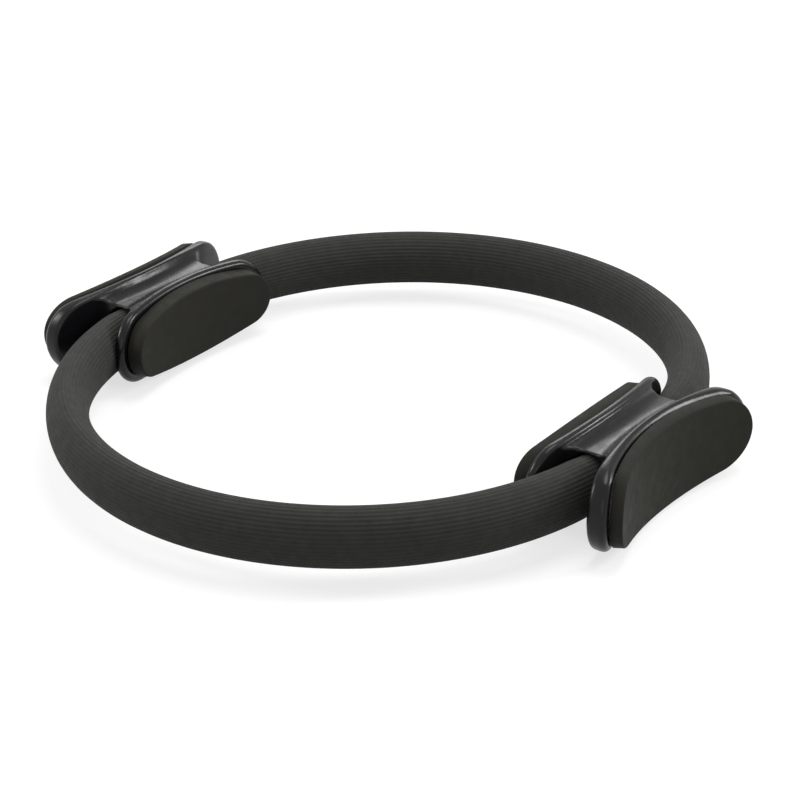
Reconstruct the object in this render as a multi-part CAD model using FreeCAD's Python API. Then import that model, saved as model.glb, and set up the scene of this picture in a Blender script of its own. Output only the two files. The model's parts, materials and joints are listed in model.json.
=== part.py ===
"""A pilates ring: a sprung hoop in a ribbed foam sleeve, with a padded handle at each side.

The hoop lies flat in XY, with its centre at the origin and the handles on X.
"""

import FreeCAD
import Part
import math
import os

from FreeCAD import Vector

# Hoop line: two round halves joined by short straights inside the handles
BEND_RADIUS = 157.5
STRAIGHT_HALF = 18.0

# Foam sleeve: an oval tube with lengthwise ribs and a slot for the leaves
SLEEVE_WIDTH = 22.8
SLEEVE_HEIGHT = 32.6
RIB_COUNT = 40
RIB_DEPTH = 0.45
SLEEVE_END = 26.0
SLOT_CLEARANCE = 0.2

# Spring leaves, two deep
LEAF_WIDTH = 20.0
LEAF_THICKNESS = 1.2
LEAF_GAP = 0.1
LEAF_END = 1.5

# Gap between pieces of different bodies
FIT_GAP = 0.3

# Pads
OUTER_PAD_LENGTH = 132.0
OUTER_PAD_HEIGHT = 49.6
OUTER_PAD_END_RADIUS = 22.0
OUTER_PAD_THICKNESS = 7.0
INNER_PAD_LENGTH = 116.2
INNER_PAD_HEIGHT = 43.8
INNER_PAD_END_RADIUS = 17.5
INNER_PAD_THICKNESS = 9.5
PAD_EDGE_RADIUS = 2.4
TAPE_THICKNESS = 0.4
TAPE_MARGIN = 3.0
BOND_GAP = 0.1

# Handle shells: a bowed flange at each side of a collar that closes round the hoop
RIM_END_MARGIN = 5.0
RIM_SIDE_MARGIN = 2.4
RIM_FRONT_RADIUS = 3.2
RIM_BACK_RADIUS = 2.5
FLANGE_THICKNESS = 5.8
OUTER_FACE = 15.6
OUTER_BOW_RADIUS = 166.0
OUTER_BACK_RADIUS = 270.0
OUTER_RIM_END_RADIUS = 24.0
INNER_FACE = 15.1
INNER_BOW_RADIUS = 222.0
INNER_BACK_RADIUS = 256.0
INNER_RIM_END_RADIUS = 22.0
FOOT_DEPTH = 0.25
COLLAR_HALF_LENGTH = 37.3
COLLAR_TOP = 18.1
SADDLE_RADIUS = 8.6
MOUTH_RADIUS = 11.0
CORE_MARGIN = 4.5
CORE_WALL = 3.0
FLANGE_BITE = 1.0
COLLAR_INSET = 3.2
CHAMBER_OVERLAP = 2.0
CHAMBER_WIDTH = 18.0
CHAMBER_HEIGHT = 27.8

# Screws that hold the shells, the leaves and the splice plate together
SCREW_ALONG = 12.0
SCREW_RISE = 5.5
SCREW_DIAMETER = 4.0
SCREW_HEAD_DIAMETER = 7.6
SCREW_HEAD_HEIGHT = 2.6
SCREW_REACH = 10.0
SCREW_CLEARANCE = 0.1
HEAD_DEPTH = 3.2
POST_DIAMETER = 8.0
PLATE_LENGTH = 44.0
PLATE_HEIGHT = 18.0
PLATE_THICKNESS = 1.5

# Reach of the cutting blocks past the handle
BEYOND = 60.0

ORIGIN = Vector(0, 0, 0)
UP = Vector(0, 0, 1)
OUTWARD = Vector(1, 0, 0)
ALONG = Vector(0, 1, 0)
TOUCH = 1e-3
QUARTER_TURN = 90.0
HALF_TURN = 180.0
PERIMETER_STEPS = 1440

LEAF_STACK = 2 * LEAF_THICKNESS + LEAF_GAP
SCREW_RISES = (-SCREW_RISE, SCREW_RISE)
SCREW_PLACES = [(along, rise) for along in (-SCREW_ALONG, SCREW_ALONG) for rise in SCREW_RISES]
HOLE_DIAMETER = SCREW_DIAMETER + 2 * FIT_GAP
PAD_SEAT = TAPE_THICKNESS + 2 * BOND_GAP


def oval_angles(count, half_width, half_height):
    """Parameter angles that part an ellipse's perimeter into equal lengths."""
    lengths = [0.0]
    for step in range(PERIMETER_STEPS):
        angle = 2 * math.pi * (step + 0.5) / PERIMETER_STEPS
        speed = math.hypot(half_width * math.sin(angle), half_height * math.cos(angle))
        lengths.append(lengths[-1] + speed)
    angles = []
    step = 0
    for index in range(count):
        wanted = lengths[-1] * index / count
        while lengths[step + 1] < wanted:
            step += 1
        share = (wanted - lengths[step]) / (lengths[step + 1] - lengths[step])
        angles.append(2 * math.pi * (step + share) / PERIMETER_STEPS)
    return angles


def ellipse_point(angle, half_width, half_height):
    return Vector(BEND_RADIUS + half_width * math.cos(angle), 0, half_height * math.sin(angle))


def ribbed_wire():
    """The sleeve's outline: one arc for each rib, meeting in the grooves."""
    half_width = SLEEVE_WIDTH / 2
    half_height = SLEEVE_HEIGHT / 2
    angles = oval_angles(2 * RIB_COUNT, half_width, half_height)
    arcs = []
    for rib in range(RIB_COUNT):
        ends = (angles[2 * rib], angles[(2 * rib + 2) % len(angles)])
        start, end = (ellipse_point(a, half_width - RIB_DEPTH, half_height - RIB_DEPTH) for a in ends)
        crest = ellipse_point(angles[2 * rib + 1], half_width, half_height)
        arcs.append(Part.Arc(start, crest, end).toShape())
    return Part.Wire(arcs)


def upright_rectangle(x_low, x_high, half_height):
    corners = [(x_low, -half_height), (x_high, -half_height), (x_high, half_height), (x_low, half_height)]
    points = [Vector(x, 0, z) for x, z in corners]
    return Part.makePolygon(points + points[:1])


def bend_angle(along):
    """Angle on the round half at a given distance along the handle."""
    return math.degrees(math.asin((along - STRAIGHT_HALF) / BEND_RADIUS))


def bent(face, start_angle, end_angle):
    """A section swept along the front right quarter of the hoop, counted from the straight."""
    centre = Vector(0, -STRAIGHT_HALF, 0)
    section = face.copy()
    section.translate(centre)
    section.rotate(centre, UP, -start_angle)
    return section.revolve(centre, UP, start_angle - end_angle)


def sleeve():
    slot_half = LEAF_STACK / 2 + SLOT_CLEARANCE
    slot_half_height = LEAF_WIDTH / 2 + SLOT_CLEARANCE
    slot = upright_rectangle(BEND_RADIUS - slot_half, BEND_RADIUS + slot_half, slot_half_height)
    section = Part.Face(ribbed_wire()).cut(Part.Face(slot))
    return bent(section, bend_angle(SLEEVE_END), QUARTER_TURN)


def leaf(x_low, x_high):
    section = Part.Face(upright_rectangle(BEND_RADIUS + x_low, BEND_RADIUS + x_high, LEAF_WIDTH / 2))
    end = section.copy()
    end.translate(Vector(0, -STRAIGHT_HALF, 0))
    straight = end.extrude(Vector(0, STRAIGHT_HALF - LEAF_END, 0))
    whole = straight.fuse(bent(section, 0, QUARTER_TURN)).removeSplitter()
    holes = [across(HOLE_DIAMETER, 0, BEND_RADIUS + SLEEVE_WIDTH, -SCREW_ALONG, rise) for rise in SCREW_RISES]
    return whole.cut(holes)


def across(diameter, x_low, x_high, along, rise):
    """A round bar along X."""
    return Part.makeCylinder(diameter / 2, x_high - x_low, Vector(x_low, along, rise), OUTWARD)


def oval(half_length, half_height, end_radius):
    """An upright oval face of four arcs, across X at the hoop line."""
    end_centre = half_length - end_radius
    crown_radius = (end_centre**2 + half_height**2 - end_radius**2) / (2 * (half_height - end_radius))
    lean = math.atan2(end_centre, crown_radius - half_height)
    shoulder_y = end_centre + end_radius * math.sin(lean)
    shoulder_z = end_radius * math.cos(lean)
    tips = [(half_length, 0), (0, half_height), (-half_length, 0), (0, -half_height)]
    shoulders = [(shoulder_y, -shoulder_z), (shoulder_y, shoulder_z)]
    shoulders += [(-y, -z) for y, z in shoulders]
    arcs = []
    for index, tip in enumerate(tips):
        ends = (shoulders[index], tip, shoulders[(index + 1) % len(shoulders)])
        arcs.append(Part.Arc(*(Vector(BEND_RADIUS, y, z) for y, z in ends)).toShape())
    return Part.Face(Part.Wire(arcs))


class Side:
    """One side of a handle: out is 1 away from the ring's centre and -1 towards it."""

    def __init__(self, out, face, bow_radius, back_radius, rim_end_radius, pad_size):
        self.out = out
        self.face = face
        self.bow_radius = bow_radius
        self.back_radius = back_radius
        self.rim_end_radius = rim_end_radius
        self.pad_length, self.pad_height, self.pad_end_radius, self.pad_thickness = pad_size

    def round_space(self, offset, radius):
        """The round space whose near side lies at an offset from the hoop line."""
        middle = Vector(BEND_RADIUS + self.out * (offset + radius), 0, -BEYOND)
        space = Part.makeCylinder(radius, 2 * BEYOND, middle, UP)
        space.rotate(middle, UP, QUARTER_TURN)
        return space

    def bow(self, rise):
        """The space in front of the flange's bowed face, or of a sheet that rises from it."""
        return self.round_space(self.face + rise, self.bow_radius - rise)

    def back(self, bite):
        """The space in front of the flange's back, or of a plane that bites into it."""
        return self.round_space(self.face - FLANGE_THICKNESS + bite, self.back_radius - bite)

    def on_round(self, offset, radius):
        """A test for the curved edges on the face that such a round space leaves."""
        middle = Vector(BEND_RADIUS + self.out * (offset + radius), 0, 0)

        def wanted(edge):
            point = edge.valueAt(edge.FirstParameter) - middle
            return is_curved(edge) and abs(math.hypot(point.x, point.y) - radius) < TOUCH

        return wanted

    def pad_prism(self, inset):
        length = self.pad_length / 2 - inset
        height = self.pad_height / 2 - inset
        return oval(length, height, self.pad_end_radius - inset).extrude(Vector(self.out * BEYOND, 0, 0))

    def rim_prism(self, inset):
        length = self.pad_length / 2 + RIM_END_MARGIN - inset
        height = self.pad_height / 2 + RIM_SIDE_MARGIN - inset
        return oval(length, height, self.rim_end_radius - inset).extrude(Vector(self.out * BEYOND, 0, 0))

    def block(self, along_low, along_high, low, high):
        """A block from the parting plane outwards."""
        x_low = BEND_RADIUS - (BEYOND if self.out < 0 else 0)
        corner = Vector(x_low, along_low, low)
        return Part.makeBox(BEYOND, along_high - along_low, high - low, corner)


def rounded(shape, radius, wanted):
    return shape.makeFillet(radius, [edge for edge in shape.Edges if wanted(edge)])


def is_curved(edge):
    return edge.Curve.TypeId != "Part::GeomLine"


def flange(side):
    """The bowed oval flange with its rounded rim, and a narrow flat to stand on at top and bottom."""
    plate = side.rim_prism(0).common(side.back(0)).cut(side.bow(0))
    plate = rounded(plate, RIM_FRONT_RADIUS, side.on_round(side.face, side.bow_radius))
    plate = rounded(plate, RIM_BACK_RADIUS, side.on_round(side.face - FLANGE_THICKNESS, side.back_radius))
    foot = side.pad_height / 2 + RIM_SIDE_MARGIN - FOOT_DEPTH
    lost = side.block(-2 * BEYOND, 2 * BEYOND, foot, BEYOND)
    return plate.cut([lost, lost.mirror(ORIGIN, UP)])


def at_saddle(edge):
    """True for the curved edge between the collar's top and the flange."""
    box = edge.BoundBox
    return is_curved(edge) and box.ZLength < TOUCH and box.ZMax < BEYOND - TOUCH


def at_mouth(edge):
    """True for the upright edge between the collar's end and the flange."""
    box = edge.BoundBox
    off_parting = max(abs(box.XMin - BEND_RADIUS), abs(box.XMax - BEND_RADIUS)) > TOUCH
    return box.YMax < COLLAR_HALF_LENGTH + TOUCH and box.ZLength > TOUCH and off_parting


def collar(side):
    """The saddle between the flange and the parting plane, closed round the hoop."""
    body = side.rim_prism(COLLAR_INSET).cut(side.back(FLANGE_BITE))
    channel = side.block(-2 * BEYOND, 2 * BEYOND, COLLAR_TOP, BEYOND).cut(side.back(0))
    channel = rounded(channel, SADDLE_RADIUS, at_saddle)
    mouth = side.block(COLLAR_HALF_LENGTH, 2 * BEYOND, -BEYOND, BEYOND).cut(side.back(0))
    mouth = rounded(mouth, MOUTH_RADIUS, at_mouth)
    return body.cut([channel, channel.mirror(ORIGIN, UP), mouth, mouth.mirror(ORIGIN, ALONG)])


def cores(side):
    """The hollows in the flange's two ends, open towards the pad that covers them."""
    end = side.block(COLLAR_HALF_LENGTH, 2 * BEYOND, -BEYOND, BEYOND)
    core = side.pad_prism(CORE_MARGIN).common(side.back(CORE_WALL)).common(end)
    return [core, core.mirror(ORIGIN, ALONG)]


def bores():
    """The way of the hoop through a handle: two sleeve ends and the chamber between them."""
    wide = Part.Ellipse(ORIGIN, SLEEVE_HEIGHT / 2 + FIT_GAP, SLEEVE_WIDTH / 2 + FIT_GAP).toShape()
    narrow = Part.Ellipse(ORIGIN, CHAMBER_HEIGHT / 2, CHAMBER_WIDTH / 2).toShape()
    for edge in (wide, narrow):
        edge.rotate(ORIGIN, UP, QUARTER_TURN)
        edge.rotate(ORIGIN, OUTWARD, QUARTER_TURN)
        edge.translate(Vector(BEND_RADIUS, 0, 0))
    shoulder = SLEEVE_END - FIT_GAP
    way = bent(Part.Face(Part.Wire(wide)), bend_angle(shoulder), bend_angle(INNER_PAD_LENGTH))
    chamber = Part.Face(Part.Wire(narrow))
    chamber_end = shoulder + CHAMBER_OVERLAP
    chamber.translate(Vector(0, -chamber_end, 0))
    return [way, way.mirror(ORIGIN, ALONG), chamber.extrude(Vector(0, 2 * chamber_end, 0))]


def at_screws(diameter, x_low, x_high):
    return [across(diameter, x_low, x_high, along, rise) for along, rise in SCREW_PLACES]


def shell(side):
    body = flange(side).fuse(collar(side)).cut(cores(side) + bores())
    if side.out > 0:
        posts = at_screws(POST_DIAMETER, PLATE_BACK + FIT_GAP, CHAMBER_OUT)
        holes = at_screws(SCREW_DIAMETER + 2 * SCREW_CLEARANCE, BEND_RADIUS, SCREW_TIP + FIT_GAP)
    else:
        posts = at_screws(POST_DIAMETER, CHAMBER_IN, LEAVES_IN - FIT_GAP)
        holes = at_screws(HOLE_DIAMETER, HEAD_SEAT, BEND_RADIUS)
        holes += at_screws(SCREW_HEAD_DIAMETER + 2 * FIT_GAP, HEAD_SEAT - BEYOND, HEAD_SEAT)
    return body.fuse(posts).cut(holes)


def pad(side):
    """A bowed foam pad with a rounded front edge."""
    rise = PAD_SEAT + side.pad_thickness
    blank = side.pad_prism(0).common(side.bow(PAD_SEAT)).cut(side.bow(rise))
    return rounded(blank, PAD_EDGE_RADIUS, side.on_round(side.face + rise, side.bow_radius - rise))


def tape(side):
    sheet = side.pad_prism(TAPE_MARGIN).common(side.bow(BOND_GAP))
    return sheet.cut(side.bow(BOND_GAP + TAPE_THICKNESS))


def splice_plate():
    corner = Vector(PLATE_BACK - PLATE_THICKNESS, -PLATE_LENGTH / 2, -PLATE_HEIGHT / 2)
    plate = Part.makeBox(PLATE_THICKNESS, PLATE_LENGTH, PLATE_HEIGHT, corner)
    return plate.cut(at_screws(HOLE_DIAMETER, BEND_RADIUS, PLATE_BACK + PLATE_THICKNESS))


def screws():
    heads = at_screws(SCREW_HEAD_DIAMETER, HEAD_SEAT - SCREW_HEAD_HEIGHT, HEAD_SEAT)
    shanks = at_screws(SCREW_DIAMETER, HEAD_SEAT - SCREW_HEAD_HEIGHT / 2, SCREW_TIP)
    return Part.makeCompound([head.fuse(shank).removeSplitter() for head, shank in zip(heads, shanks)])


def turned(shape):
    """The same piece on the other side of the ring."""
    copy = shape.copy()
    copy.rotate(ORIGIN, UP, HALF_TURN)
    return copy


# Planes across the handle
PLATE_BACK = BEND_RADIUS + LEAF_STACK / 2 + FIT_GAP + PLATE_THICKNESS
LEAVES_IN = BEND_RADIUS - LEAF_STACK / 2
CHAMBER_OUT = BEND_RADIUS + CHAMBER_WIDTH / 2
CHAMBER_IN = BEND_RADIUS - CHAMBER_WIDTH / 2
HEAD_SEAT = BEND_RADIUS - INNER_FACE + HEAD_DEPTH
SCREW_TIP = BEND_RADIUS + SCREW_REACH

OUTER_PAD = (OUTER_PAD_LENGTH, OUTER_PAD_HEIGHT, OUTER_PAD_END_RADIUS, OUTER_PAD_THICKNESS)
INNER_PAD = (INNER_PAD_LENGTH, INNER_PAD_HEIGHT, INNER_PAD_END_RADIUS, INNER_PAD_THICKNESS)
OUTER = Side(1, OUTER_FACE, OUTER_BOW_RADIUS, OUTER_BACK_RADIUS, OUTER_RIM_END_RADIUS, OUTER_PAD)
INNER = Side(-1, INNER_FACE, INNER_BOW_RADIUS, INNER_BACK_RADIUS, INNER_RIM_END_RADIUS, INNER_PAD)

# One quarter of the hoop, and the handle on the right
QUARTER = {
    "sleeve": sleeve(),
    "inner_leaf": leaf(-LEAF_GAP / 2 - LEAF_THICKNESS, -LEAF_GAP / 2),
    "outer_leaf": leaf(LEAF_GAP / 2, LEAF_GAP / 2 + LEAF_THICKNESS),
}
HANDLE = {
    "outer_shell": shell(OUTER),
    "inner_shell": shell(INNER),
    "outer_pad": pad(OUTER),
    "inner_pad": pad(INNER),
    "outer_pad_tape": tape(OUTER),
    "inner_pad_tape": tape(INNER),
    "splice_plate": splice_plate(),
    "shell_screws": screws(),
}

os.makedirs("parts", exist_ok=True)
for name, shape in QUARTER.items():
    mirrored = shape.mirror(ORIGIN, OUTWARD)
    places = {
        "front_right": shape,
        "front_left": mirrored,
        "rear_right": turned(mirrored),
        "rear_left": turned(shape),
    }
    for place, piece in places.items():
        piece.exportStep("parts/" + place + "_" + name + ".step")
for name, shape in HANDLE.items():
    shape.exportStep("parts/right_" + name + ".step")
    turned(shape).exportStep("parts/left_" + name + ".step")
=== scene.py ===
"""Looks of a pilates ring: ribbed foam sleeves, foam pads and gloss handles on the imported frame."""

import json
import math

import bmesh
import bpy
from mathutils import Matrix, Vector


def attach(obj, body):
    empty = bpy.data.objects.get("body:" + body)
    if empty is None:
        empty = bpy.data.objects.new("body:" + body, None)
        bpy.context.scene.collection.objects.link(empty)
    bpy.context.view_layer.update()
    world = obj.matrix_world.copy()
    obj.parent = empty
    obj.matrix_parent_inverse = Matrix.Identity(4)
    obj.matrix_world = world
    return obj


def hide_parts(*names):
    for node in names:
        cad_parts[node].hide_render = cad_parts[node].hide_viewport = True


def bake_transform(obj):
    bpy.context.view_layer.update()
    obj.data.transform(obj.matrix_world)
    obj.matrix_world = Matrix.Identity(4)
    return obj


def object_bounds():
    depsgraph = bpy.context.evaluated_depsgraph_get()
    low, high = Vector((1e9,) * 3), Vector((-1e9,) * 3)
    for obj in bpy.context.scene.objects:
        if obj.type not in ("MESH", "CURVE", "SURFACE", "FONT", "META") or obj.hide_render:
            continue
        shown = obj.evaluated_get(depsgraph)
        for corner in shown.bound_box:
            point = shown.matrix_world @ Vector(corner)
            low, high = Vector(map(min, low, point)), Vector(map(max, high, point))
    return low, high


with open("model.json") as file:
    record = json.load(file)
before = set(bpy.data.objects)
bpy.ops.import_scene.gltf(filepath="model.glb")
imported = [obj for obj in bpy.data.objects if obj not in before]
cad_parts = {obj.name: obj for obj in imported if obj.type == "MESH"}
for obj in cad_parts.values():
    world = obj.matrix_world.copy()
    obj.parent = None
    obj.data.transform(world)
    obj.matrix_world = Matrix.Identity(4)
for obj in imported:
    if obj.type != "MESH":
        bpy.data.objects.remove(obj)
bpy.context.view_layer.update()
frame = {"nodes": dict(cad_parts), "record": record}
NODES = frame["nodes"]

# Camera, fitted to the photograph: degrees, then the hoop's centre to its right, up and ahead of it
CAMERA_AZIMUTH = 37.311
CAMERA_ELEVATION = 26.399
CAMERA_ROLL = -1.279
CAMERA_REACH = Vector((-0.01022, 0.01124, 1.21878))
CAMERA_LENS = 100.445
CAMERA_SENSOR = 36.0

# Hoop line: two round halves joined by short straights inside the handles
BEND_RADIUS = 0.1575
STRAIGHT_HALF = 0.018

# Foam sleeve: an oval with round ribs and a slot for the leaves. Inside the handles its section is nipped
# by a share, which grows from the first distance along the handle to the second
SLEEVE_WIDTH = 0.0228
SLEEVE_HEIGHT = 0.0326
SLEEVE_END = 0.026
RIB_COUNT = 40
RIB_DEPTH = 0.00036
RIB_STEPS = 6
RIB_POWER = 2.2
SLOT_WIDTH = 0.0029
SLOT_HEIGHT = 0.0204
RING_STEP = math.radians(1.25)
NIP_SHARE = 0.04
NIP_START = 0.046
NIP_END = 0.038
PERIMETER_STEPS = 1440

# Each half of the hoop is split at its seams
SEAM_ANGLE = math.radians(70)

# Pads: outward sign, face and bow radius of the flange, then length, height, end radius, thickness
PAD_SIDES = {
    "outer": (1, 0.0156, 0.166, 0.132, 0.0496, 0.022, 0.007),
    "inner": (-1, 0.0151, 0.222, 0.1162, 0.0438, 0.0175, 0.0095),
}
PAD_SEAT = 0.0006
PAD_DRAFT = 0.0013
PAD_EDGE_RADIUS = 0.0012
PAD_BACK_RADIUS = 0.0004
PAD_CROWN = 0.0005
PAD_EDGE_STEPS = 7
PAD_FACE_SHARES = (0.93, 0.8, 0.62, 0.42, 0.2)
PAD_BACK_SHARES = (0.3, 0.65)
OVAL_STEPS = 44

# Shells: the two of a handle are softened as one and parted again at the hoop line. Above the shoulder
# the flanges' rims are drawn down: the rim's height, its drop, and a further drop at its front
SHELL_GRID = 0.0005
SHELL_SOFTENING_SHARE = 0.5
SHELL_SOFTENING_STEPS = 30
SHELL_FACE_SHARE = 0.2
PARTING_SHIFT = 0.00002  # keeps the parting plane off the corners of the remeshed shells
SHOULDER_HEIGHT = 0.0186
RIM_ROUNDING = 0.0045
RIM_DROPS = {"outer": (0.0272, 0.0017, 0.0027), "inner": (0.0243, 0.0002, 0.0)}

SHARP_ANGLE = math.radians(60)
MERGE_DISTANCE = 1e-6

# Finishes: linear colour, the share by which it drifts, low and high roughness, and the sizes in metres
# of the patches of both and of the bumps, with the bumps' depths
SLEEVE_COLOUR = (0.0305, 0.0305, 0.0285)
SLEEVE_DRIFT_SHARE = 0.1
SLEEVE_PATCH = 0.006
SLEEVE_PATCH_DETAIL = 6.0
SLEEVE_ROUGHNESS = (0.66, 0.8)
SLEEVE_ROUGHNESS_PATCH = 0.004
SLEEVE_PORE = 0.0006
SLEEVE_PORE_DEPTH = 0.00006
SLEEVE_DENT = 0.0022
SLEEVE_DENT_DEPTH = 0.00012
SLEEVE_SPECULAR = 0.12
SLEEVE_SHEEN = 0.02
SLEEVE_SHEEN_ROUGHNESS = 0.5

PAD_COLOUR = (0.0168, 0.0164, 0.0128)
PAD_DRIFT_SHARE = 0.08
PAD_PATCH = 0.012
PAD_PATCH_DETAIL = 5.0
PAD_ROUGHNESS = (0.6, 0.72)
PAD_ROUGHNESS_PATCH = 0.006
PAD_PORE = 0.0005
PAD_PORE_DEPTH = 0.00004
PAD_DENT = 0.003
PAD_DENT_DEPTH = 0.0001
PAD_SPECULAR = 0.1

SHELL_COLOUR = (0.005, 0.005, 0.006)
SHELL_DRIFT_SHARE = 0.12
SHELL_PATCH = 0.02
SHELL_ROUGHNESS = (0.2, 0.3)
SHELL_ROUGHNESS_PATCH = 0.008
SHELL_ROUGHNESS_DETAIL = 5.0
SHELL_WAVE = 0.006
SHELL_WAVE_DEPTH = 0.00006
SHELL_SPECULAR = 0.22

SPRING_COLOUR = (0.27, 0.29, 0.33)
SPRING_ROUGHNESS = (0.3, 0.42)
PLATED_COLOUR = (0.6, 0.6, 0.58)
PLATED_ROUGHNESS = (0.25, 0.38)
STEEL_DRIFT_SHARE = 0.12
GRAIN = 0.002
GRAIN_DEPTH = 0.00002
GRAIN_DETAIL = 4.0
GRAIN_STRETCH = (1, 1, 12)

TAPE_COLOUR = (0.75, 0.74, 0.7)
TAPE_DRIFT_SHARE = 0.05
TAPE_PATCH = 0.005
TAPE_ROUGHNESS = (0.5, 0.65)
TAPE_ROUGHNESS_PATCH = 0.002
TAPE_DENT = 0.001
TAPE_DENT_DEPTH = 0.00003

PLAIN_DETAIL = 3.0
NOISE_LOW = 0.3  # noise lies mostly between these two
NOISE_HIGH = 0.7

# Stage
FLOOR_SIZE = 8.0
FLOOR_DROP = 0.0001
FLOOR_ALBEDO = 0.35
FLOOR_GLOW = 0.68
AMBIENT = 0.62
WHITE = (1.0, 1.0, 1.0)

# Lamps: place, width in metres and power in watts
LAMPS = {
    "overhead": ((0.1, 0.3, 1.6), 0.8, 11),
    "left": ((-1.4, -0.8, 0.9), 0.5, 9),
    "right": ((1.2, 1.2, 0.9), 0.5, 17),
    "back_left": ((-1.1, 1.4, 0.95), 0.7, 6),
    "front": ((0.8, -1.4, 0.7), 1.0, 2.5),
}


def add_node(tree, kind, **values):
    node = tree.nodes.new(kind)
    for name, value in values.items():
        node.inputs[name].default_value = value
    return node


def blank_material(name):
    material = bpy.data.materials.new(name)
    material.use_nodes = True
    return material, material.node_tree, material.node_tree.nodes["Principled BSDF"]


def place_of(tree, scale=(1, 1, 1)):
    """Coordinates in the part's own frame, in metres, stretched by a scale."""
    mapping = add_node(tree, "ShaderNodeMapping", Scale=scale)
    tree.links.new(tree.nodes.new("ShaderNodeTexCoord").outputs["Object"], mapping.inputs["Vector"])
    return mapping.outputs["Vector"]


def noise(tree, place, size, detail=PLAIN_DETAIL):
    node = add_node(tree, "ShaderNodeTexNoise", Scale=1 / size, Detail=detail)
    tree.links.new(place, node.inputs["Vector"])
    return node.outputs["Fac"]


def vary_colour(tree, shader, fac, colour, spread):
    """Base colour that drifts a little to each side of a colour."""
    ramp = tree.nodes.new("ShaderNodeValToRGB")
    for stop, sign, position in zip(ramp.color_ramp.elements, (-1, 1), (NOISE_LOW, NOISE_HIGH)):
        stop.position = position
        stop.color = [channel * (1 + sign * spread) for channel in colour] + [1]
    tree.links.new(fac, ramp.inputs["Fac"])
    tree.links.new(ramp.outputs["Color"], shader.inputs["Base Color"])


def vary_roughness(tree, shader, fac, low, high):
    ends = {"From Min": NOISE_LOW, "From Max": NOISE_HIGH, "To Min": low, "To Max": high}
    span = add_node(tree, "ShaderNodeMapRange", **ends)
    tree.links.new(fac, span.inputs["Value"])
    tree.links.new(span.outputs["Result"], shader.inputs["Roughness"])


def bumped(tree, shader, layers):
    """Bump of several heights, each a (value, depth in metres) pair, one on the other."""
    normal = None
    for height, depth in layers:
        bump = add_node(tree, "ShaderNodeBump", Strength=1.0, Distance=depth)
        tree.links.new(height, bump.inputs["Height"])
        if normal:
            tree.links.new(normal, bump.inputs["Normal"])
        normal = bump.outputs["Normal"]
    tree.links.new(normal, shader.inputs["Normal"])


def pores(tree, place, size):
    """The cells of a foam, as heights."""
    cells = add_node(tree, "ShaderNodeTexVoronoi", Scale=1 / size)
    tree.links.new(place, cells.inputs["Vector"])
    return cells.outputs["Distance"]


def sleeve_foam():
    material, tree, shader = blank_material("sleeve_foam")
    place = place_of(tree)
    patches = noise(tree, place, SLEEVE_PATCH, SLEEVE_PATCH_DETAIL)
    vary_colour(tree, shader, patches, SLEEVE_COLOUR, SLEEVE_DRIFT_SHARE)
    vary_roughness(tree, shader, noise(tree, place, SLEEVE_ROUGHNESS_PATCH), *SLEEVE_ROUGHNESS)
    cells = pores(tree, place, SLEEVE_PORE)
    dents = noise(tree, place, SLEEVE_DENT)
    bumped(tree, shader, [(cells, SLEEVE_PORE_DEPTH), (dents, SLEEVE_DENT_DEPTH)])
    shader.inputs["Specular IOR Level"].default_value = SLEEVE_SPECULAR
    shader.inputs["Sheen Weight"].default_value = SLEEVE_SHEEN
    shader.inputs["Sheen Roughness"].default_value = SLEEVE_SHEEN_ROUGHNESS
    return material


def pad_foam():
    material, tree, shader = blank_material("pad_foam")
    place = place_of(tree)
    vary_colour(tree, shader, noise(tree, place, PAD_PATCH, PAD_PATCH_DETAIL), PAD_COLOUR, PAD_DRIFT_SHARE)
    vary_roughness(tree, shader, noise(tree, place, PAD_ROUGHNESS_PATCH), *PAD_ROUGHNESS)
    cells = pores(tree, place, PAD_PORE)
    dents = noise(tree, place, PAD_DENT)
    bumped(tree, shader, [(cells, PAD_PORE_DEPTH), (dents, PAD_DENT_DEPTH)])
    shader.inputs["Specular IOR Level"].default_value = PAD_SPECULAR
    return material


def shell_plastic():
    material, tree, shader = blank_material("shell_plastic")
    place = place_of(tree)
    vary_colour(tree, shader, noise(tree, place, SHELL_PATCH), SHELL_COLOUR, SHELL_DRIFT_SHARE)
    patches = noise(tree, place, SHELL_ROUGHNESS_PATCH, SHELL_ROUGHNESS_DETAIL)
    vary_roughness(tree, shader, patches, *SHELL_ROUGHNESS)
    bumped(tree, shader, [(noise(tree, place, SHELL_WAVE), SHELL_WAVE_DEPTH)])
    shader.inputs["Specular IOR Level"].default_value = SHELL_SPECULAR
    return material


def steel(name, colour, roughness):
    """Rolled steel, with its grain along the strip."""
    material, tree, shader = blank_material(name)
    grain = noise(tree, place_of(tree, GRAIN_STRETCH), GRAIN, GRAIN_DETAIL)
    vary_colour(tree, shader, grain, colour, STEEL_DRIFT_SHARE)
    vary_roughness(tree, shader, grain, *roughness)
    bumped(tree, shader, [(grain, GRAIN_DEPTH)])
    shader.inputs["Metallic"].default_value = 1.0
    return material


def tape_film():
    material, tree, shader = blank_material("tape")
    place = place_of(tree)
    vary_colour(tree, shader, noise(tree, place, TAPE_PATCH), TAPE_COLOUR, TAPE_DRIFT_SHARE)
    vary_roughness(tree, shader, noise(tree, place, TAPE_ROUGHNESS_PATCH), *TAPE_ROUGHNESS)
    bumped(tree, shader, [(noise(tree, place, TAPE_DENT), TAPE_DENT_DEPTH)])
    return material


MATERIALS = {
    "sleeve_foam": sleeve_foam(),
    "pad_foam": pad_foam(),
    "shell_plastic": shell_plastic(),
    "spring_steel": steel("spring_steel", SPRING_COLOUR, SPRING_ROUGHNESS),
    "plated_steel": steel("plated_steel", PLATED_COLOUR, PLATED_ROUGHNESS),
    "tape": tape_film(),
}


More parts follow.
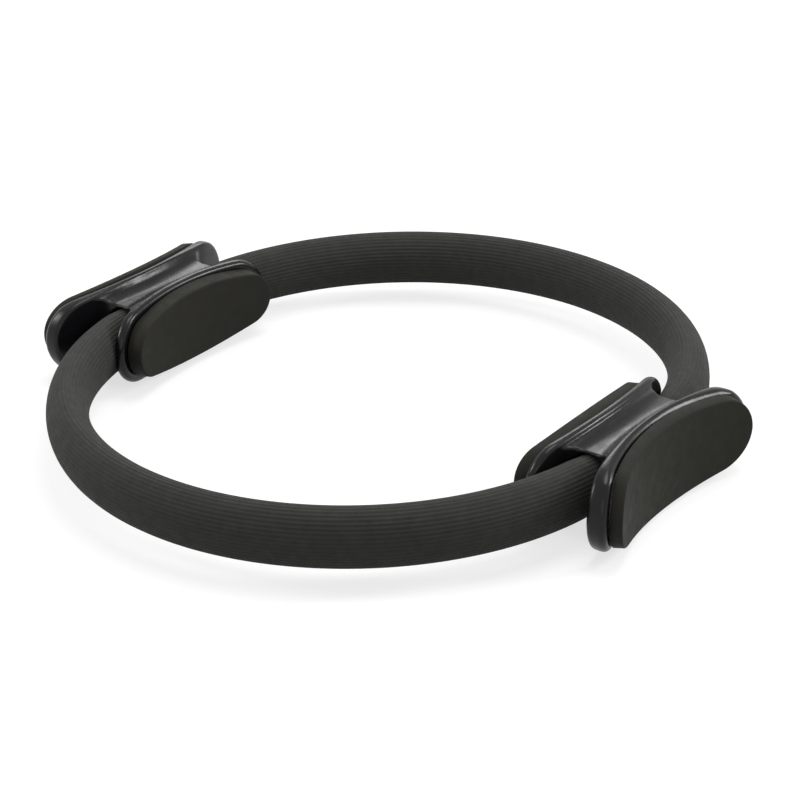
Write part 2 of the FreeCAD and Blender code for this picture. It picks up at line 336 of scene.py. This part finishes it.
def finished_piece(name, mesh, slot):
    mesh.materials.clear()
    mesh.materials.append(MATERIALS[slot])
    mesh.polygons.foreach_set("use_smooth", [True] * len(mesh.polygons))
    mesh.set_sharp_from_angle(angle=SHARP_ANGLE)
    piece = bpy.data.objects.new(name, mesh)
    bpy.context.scene.collection.objects.link(piece)
    return piece


def mesh_of(name, rings, faces):
    mesh = bpy.data.meshes.new(name)
    mesh.from_pydata([point for ring in rings for point in ring], [], faces)
    bm = bmesh.new()
    bm.from_mesh(mesh)
    bmesh.ops.recalc_face_normals(bm, faces=bm.faces)
    bm.to_mesh(mesh)
    bm.free()
    return mesh


def tube_faces(first, count, rings):
    """Faces of a tube whose rings start at vertex first and have count points each."""
    faces = []
    for ring in range(rings - 1):
        low = first + ring * count
        for index in range(count):
            after = (index + 1) % count
            faces.append((low + index, low + after, low + count + after, low + count + index))
    return faces


def oval_angles(count, half_width, half_height):
    """Parameter angles that part an ellipse's perimeter into equal lengths."""
    lengths = [0.0]
    for step in range(PERIMETER_STEPS):
        angle = 2 * math.pi * (step + 0.5) / PERIMETER_STEPS
        speed = math.hypot(half_width * math.sin(angle), half_height * math.cos(angle))
        lengths.append(lengths[-1] + speed)
    angles = []
    step = 0
    for index in range(count):
        wanted = lengths[-1] * index / count
        while lengths[step + 1] < wanted:
            step += 1
        share = (wanted - lengths[step]) / (lengths[step + 1] - lengths[step])
        angles.append(2 * math.pi * (step + share) / PERIMETER_STEPS)
    return angles


def ribbed_section():
    """Points (outward, up) round the sleeve: each rib is round, between two sharp grooves."""
    points = []
    angles = oval_angles(RIB_COUNT * RIB_STEPS, SLEEVE_WIDTH / 2, SLEEVE_HEIGHT / 2)
    for index, angle in enumerate(angles):
        across = 2 * (index % RIB_STEPS) / RIB_STEPS - 1
        depth = RIB_DEPTH * abs(across) ** RIB_POWER
        width, height = SLEEVE_WIDTH / 2 - depth, SLEEVE_HEIGHT / 2 - depth
        points.append((width * math.cos(angle), height * math.sin(angle)))
    return points


def hoop_point(angle, outward=0.0, up=0.0):
    """A point beside the front half of the hoop line, at an angle from its middle to the right."""
    radius = BEND_RADIUS + outward
    return Vector((radius * math.sin(angle), -STRAIGHT_HALF - radius * math.cos(angle), up))


def hoop_angle(along):
    """The angle where the hoop line is at a given distance along the handle."""
    return math.pi / 2 - math.asin((along - STRAIGHT_HALF) / BEND_RADIUS)


def nipped(angle, point):
    """A point of the sleeve's section at an angle: the handles press its ends together a little."""
    along = STRAIGHT_HALF + BEND_RADIUS * math.cos(angle)
    depth = min(max((NIP_START - along) / (NIP_START - NIP_END), 0), 1)
    return [reach * (1 - NIP_SHARE * depth) for reach in point]


def sleeve_mesh(name, start, end, turn):
    """A stretch of ribbed sleeve with a slot for the leaves, between two angles of a half of the hoop."""
    outer = ribbed_section()
    corners = [(1, -1), (1, 1), (-1, 1), (-1, -1)]
    slot = [(x * SLOT_WIDTH / 2, z * SLOT_HEIGHT / 2) for x, z in corners]
    steps = math.ceil((end - start) / RING_STEP)
    angles = [start + (end - start) * step / steps for step in range(steps + 1)]
    outer_rings = [[turn @ hoop_point(angle, *nipped(angle, point)) for point in outer] for angle in angles]
    slot_rings = [[turn @ hoop_point(angle, *point) for point in slot] for angle in angles]
    first_slot = len(outer) * len(angles)
    faces = tube_faces(0, len(outer), len(angles)) + tube_faces(first_slot, len(slot), len(angles))

    def nearest(corner):
        return min(range(len(outer)), key=lambda index: math.dist(outer[index], corner))

    marks = [nearest(corner) for corner in slot]
    for ring in (0, len(angles) - 1):
        for corner, mark in enumerate(marks):
            after = (corner + 1) % len(marks)
            count = (marks[after] - mark) % len(outer)
            rim = [ring * len(outer) + (mark + step) % len(outer) for step in range(count + 1)]
            inner = [first_slot + ring * len(slot) + index for index in (after, corner)]
            faces.append(rim + inner)
    return mesh_of(name, outer_rings + slot_rings, faces)


def cut_leaf(name, nodes, keep_ends, turn):
    """The CAD leaves of a half of the hoop, cut at the seams: the end past one seam, or the middle."""
    bm = bmesh.new()
    for node in nodes:
        bm.from_mesh(NODES[node].data)
    bmesh.ops.remove_doubles(bm, verts=bm.verts, dist=MERGE_DISTANCE)
    for side in keep_ends or (-1, 1):
        seam = side * SEAM_ANGLE
        tangent = turn @ Vector((math.cos(seam), math.sin(seam), 0))
        cut = bmesh.ops.bisect_plane(
            bm,
            geom=bm.verts[:] + bm.edges[:] + bm.faces[:],
            plane_co=turn @ hoop_point(seam),
            plane_no=tangent * side,
            clear_inner=bool(keep_ends),
            clear_outer=not keep_ends,
        )
        rim = [item for item in cut["geom_cut"] if isinstance(item, bmesh.types.BMEdge)]
        bmesh.ops.edgeloop_fill(bm, edges=rim)
    middle = [face for face in bm.faces if all(abs(vert.co.x) < MERGE_DISTANCE for vert in face.verts)]
    bmesh.ops.delete(bm, geom=middle, context="FACES")
    bmesh.ops.recalc_face_normals(bm, faces=bm.faces)
    mesh = bpy.data.meshes.new(name)
    bm.to_mesh(mesh)
    bm.free()
    return mesh


# The two halves of the hoop: their turn about Z, the quarters at their left and right, and what
# holds their left and right ends, as seen from outside the half
HALVES = {
    "front": (0, ("front_left", "front_right"), ("left_handle", "right_handle")),
    "rear": (math.pi, ("rear_right", "rear_left"), ("right_handle", "left_splice")),
}


def dress_half(half):
    """Sleeve and leaves of one half: an end piece at each handle and a middle piece between the seams."""
    angle, quarters, holders = HALVES[half]
    turn = Matrix.Rotation(angle, 3, "Z")
    end_angle = hoop_angle(SLEEVE_END)
    stretches = [(-1, -end_angle, -SEAM_ANGLE), (0, -SEAM_ANGLE, SEAM_ANGLE), (1, SEAM_ANGLE, end_angle)]
    for side, start, end in stretches:
        if side:
            quarter, holder = quarters[side > 0], holders[side > 0]
            place = quarter
            used = [quarter]
        else:
            place = half + "_middle"
            used = list(quarters)
        name = place + "_sleeve_foam"
        sleeve = finished_piece(name, sleeve_mesh(name, start, end, turn), "sleeve_foam")
        layers = {"sleeve": sleeve}
        for layer in ("inner_leaf", "outer_leaf"):
            name = place + "_" + layer + "_strip"
            leaf = cut_leaf(name, [quarter + "_" + layer for quarter in used], (side,) if side else (), turn)
            layers[layer] = finished_piece(name, leaf, "spring_steel")
        for layer, piece in layers.items():
            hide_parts(*(quarter + "_" + layer for quarter in used))
            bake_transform(piece)


def oval_ring(half_length, half_height, end_radius, inset):
    """Points (along, up) of an oval of four arcs, drawn in by an inset."""
    end_centre = half_length - end_radius
    crown_radius = (end_centre**2 + half_height**2 - end_radius**2) / (2 * (half_height - end_radius))
    shoulder = math.atan2(crown_radius - half_height, end_centre)
    arcs = [
        (end_centre, 0, end_radius, -shoulder, shoulder),
        (0, half_height - crown_radius, crown_radius, shoulder, math.pi - shoulder),
    ]
    ring = []
    for along, up, radius, start, end in arcs:
        for step in range(OVAL_STEPS):
            angle = start + (end - start) * step / OVAL_STEPS
            reach = radius - inset
            ring.append((along + reach * math.cos(angle), up + reach * math.sin(angle)))
    return ring + [(-along, -up) for along, up in ring]


def scaled(ring, share):
    return [(along * share, up * share) for along, up in ring]


def pad_mesh(name, side, turn):
    """A bowed foam pad: flat at the back, with drawn-in sides, a soft front edge and a slight crown."""
    out, face, bow_radius, length, height, end_radius, thickness = PAD_SIDES[side]

    def inset_ring(inset):
        return oval_ring(length / 2, height / 2, end_radius, inset)

    back = inset_ring(PAD_BACK_RADIUS)
    layers = [(scaled(back, share), 0) for share in PAD_BACK_SHARES]
    layers += [(back, 0), (inset_ring(0), PAD_BACK_RADIUS)]
    shoulder = thickness - PAD_CROWN - PAD_EDGE_RADIUS
    for step in range(PAD_EDGE_STEPS + 1):
        angle = math.pi / 2 * step / PAD_EDGE_STEPS
        inset = PAD_DRAFT + PAD_EDGE_RADIUS * (1 - math.cos(angle))
        layers.append((inset_ring(inset), shoulder + PAD_EDGE_RADIUS * math.sin(angle)))
    front = inset_ring(PAD_DRAFT + PAD_EDGE_RADIUS)
    layers += [(scaled(front, share), thickness - PAD_CROWN * share**2) for share in PAD_FACE_SHARES]

    def placed(along, up, rise):
        reach = face + bow_radius - math.sqrt((bow_radius - PAD_SEAT - rise) ** 2 - along**2)
        return turn @ Vector((BEND_RADIUS + out * reach, along, up))

    rings = [[placed(along, up, rise) for along, up in ring] for ring, rise in layers]
    count = len(back)
    total = count * len(rings)
    rings.append([placed(0, 0, 0), placed(0, 0, thickness)])
    faces = tube_faces(0, count, len(layers))
    for centre, low in ((total, 0), (total + 1, total - count)):
        faces += [(centre, low + index, low + (index + 1) % count) for index in range(count)]
    return mesh_of(name, rings, faces)


def softened_shells(handle):
    """Both CAD shells of a handle as one mesh with moulded, softly rounded edges."""
    bm = bmesh.new()
    for side in PAD_SIDES:
        bm.from_mesh(NODES[handle + "_" + side + "_shell"].data)
    bmesh.ops.remove_doubles(bm, verts=bm.verts, dist=MERGE_DISTANCE)
    mesh = bpy.data.meshes.new(handle + "_shells")
    bm.to_mesh(mesh)
    bm.free()
    whole = bpy.data.objects.new(mesh.name, mesh)
    bpy.context.scene.collection.objects.link(whole)
    grid = whole.modifiers.new("grid", "REMESH")
    grid.mode = "VOXEL"
    grid.voxel_size = SHELL_GRID
    soften = whole.modifiers.new("soften", "SMOOTH")
    soften.factor = SHELL_SOFTENING_SHARE
    soften.iterations = SHELL_SOFTENING_STEPS
    whole.modifiers.new("thin_out", "DECIMATE").ratio = SHELL_FACE_SHARE
    done = bpy.data.meshes.new_from_object(whole.evaluated_get(bpy.context.evaluated_depsgraph_get()))
    bpy.data.objects.remove(whole)
    return done


def lower_rim(bm, side, turn):
    """Draws a flange's rim down, and more so at its front, where the pad stands out above it."""
    out, face, bow_radius = PAD_SIDES[side][:3]
    rim_height, drop, front_drop = RIM_DROPS[side]
    middle = turn @ Vector((BEND_RADIUS + out * (face + bow_radius), 0, 0))
    for vert in bm.verts:
        depth = (vert.co - middle).xy.length - bow_radius
        front = min(max(1 - depth / RIM_ROUNDING, 0), 1)
        share = max(abs(vert.co.z) - SHOULDER_HEIGHT, 0) / (rim_height - SHOULDER_HEIGHT)
        vert.co.z -= math.copysign(share * (drop + front_drop * front**2), vert.co.z)


def shell_mesh(name, both, side, turn):
    """One of a handle's two softened shells, closed at the parting plane."""
    outward = turn @ Vector((PAD_SIDES[side][0], 0, 0))
    bm = bmesh.new()
    bm.from_mesh(both)
    cut = bmesh.ops.bisect_plane(
        bm,
        geom=bm.verts[:] + bm.edges[:] + bm.faces[:],
        plane_co=turn @ Vector((BEND_RADIUS + PARTING_SHIFT, 0, 0)),
        plane_no=outward,
        clear_inner=True,
    )
    edges = [item for item in cut["geom_cut"] if isinstance(item, bmesh.types.BMEdge)]
    bmesh.ops.triangle_fill(bm, edges=edges, normal=-outward)
    lower_rim(bm, side, turn)
    mesh = bpy.data.meshes.new(name)
    bm.to_mesh(mesh)
    bm.free()
    return mesh


def dress_handle(handle, angle):
    """Pads and shells of one handle."""
    turn = Matrix.Rotation(angle, 3, "Z")
    both = softened_shells(handle)
    for side in PAD_SIDES:
        pad_node = handle + "_" + side + "_pad"
        pad_name = pad_node + "_foam"
        pad = finished_piece(pad_name, pad_mesh(pad_name, side, turn), "pad_foam")
        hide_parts(pad_node)
        shell_node = handle + "_" + side + "_shell"
        shell_name = shell_node + "_moulding"
        shell = finished_piece(shell_name, shell_mesh(shell_name, both, side, turn), "shell_plastic")
        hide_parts(shell_node)
        for piece in (pad, shell):
            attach(piece, handle + "_handle")


def finish_nodes():
    """The pieces that keep their CAD shape get a finish of their own."""
    slots = {entry["node"]: entry["material_slot"] for entry in frame["record"]["subparts"]}
    for name, node in NODES.items():
        for place in node.material_slots:
            place.material = MATERIALS[slots[name]]


def seen_directly(tree):
    """1 for rays that show the backdrop to the camera, straight, by reflection or through glass."""
    path = tree.nodes.new("ShaderNodeLightPath")
    seen = path.outputs["Is Camera Ray"]
    for kind in ("Is Glossy Ray", "Is Transmission Ray"):
        either = tree.nodes.new("ShaderNodeMath")
        either.operation = "MAXIMUM"
        tree.links.new(seen, either.inputs[0])
        tree.links.new(path.outputs[kind], either.inputs[1])
        seen = either.outputs["Value"]
    return seen


def make_world():
    world = bpy.data.worlds.new("studio")
    world.use_nodes = True
    tree = world.node_tree
    background = tree.nodes["Background"]
    background.inputs["Color"].default_value = WHITE + (1,)
    strength = add_node(tree, "ShaderNodeMapRange", **{"To Min": AMBIENT, "To Max": 1.0})
    tree.links.new(seen_directly(tree), strength.inputs["Value"])
    tree.links.new(strength.outputs["Result"], background.inputs["Strength"])
    bpy.context.scene.world = world


def make_floor():
    """A pale floor that keeps the shadow and otherwise looks white."""
    half = FLOOR_SIZE / 2
    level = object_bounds()[0].z - FLOOR_DROP
    mesh = bpy.data.meshes.new("floor")
    corners = [(-half, -half), (half, -half), (half, half), (-half, half)]
    mesh.from_pydata([(x, y, level) for x, y in corners], [], [(0, 1, 2, 3)])
    material, tree, shader = blank_material("floor")
    shader.inputs["Base Color"].default_value = [FLOOR_ALBEDO] * 3 + [1]
    shader.inputs["Roughness"].default_value = 1.0
    shader.inputs["Specular IOR Level"].default_value = 0.0
    shader.inputs["Emission Color"].default_value = WHITE + (1,)
    glow = add_node(tree, "ShaderNodeMapRange", **{"To Min": 0.0, "To Max": FLOOR_GLOW})
    tree.links.new(seen_directly(tree), glow.inputs["Value"])
    tree.links.new(glow.outputs["Result"], shader.inputs["Emission Strength"])
    mesh.materials.append(material)
    floor = bpy.data.objects.new("floor", mesh)
    bpy.context.scene.collection.objects.link(floor)


def make_lamp(name, place, size, power):
    """A soft square lamp that points at the ring's centre."""
    lamp = bpy.data.lights.new(name, "AREA")
    lamp.shape = "SQUARE"
    lamp.size = size
    lamp.energy = power
    lamp_object = bpy.data.objects.new(name, lamp)
    lamp_object.location = place
    lamp_object.rotation_euler = (-Vector(place)).to_track_quat("-Z", "Y").to_euler()
    bpy.context.scene.collection.objects.link(lamp_object)


def make_camera():
    turns = ((CAMERA_AZIMUTH, "Z"), (90 - CAMERA_ELEVATION, "X"), (CAMERA_ROLL, "Z"))
    axes = Matrix.Identity(3)
    for degrees, axis in turns:
        axes = axes @ Matrix.Rotation(math.radians(degrees), 3, axis)
    right, up, ahead = CAMERA_REACH
    camera = bpy.data.cameras.new("camera")
    camera.lens = CAMERA_LENS
    camera.sensor_width = CAMERA_SENSOR
    camera_object = bpy.data.objects.new("camera", camera)
    camera_object.matrix_world = Matrix.LocRotScale(axes @ Vector((-right, -up, ahead)), axes, None)
    bpy.context.scene.collection.objects.link(camera_object)
    bpy.context.scene.camera = camera_object


for half in HALVES:
    dress_half(half)
dress_handle("right", 0)
dress_handle("left", math.pi)
finish_nodes()

make_camera()
make_world()
make_floor()
for lamp, values in LAMPS.items():
    make_lamp(lamp, *values)
bpy.context.scene.view_settings.view_transform = "Standard"
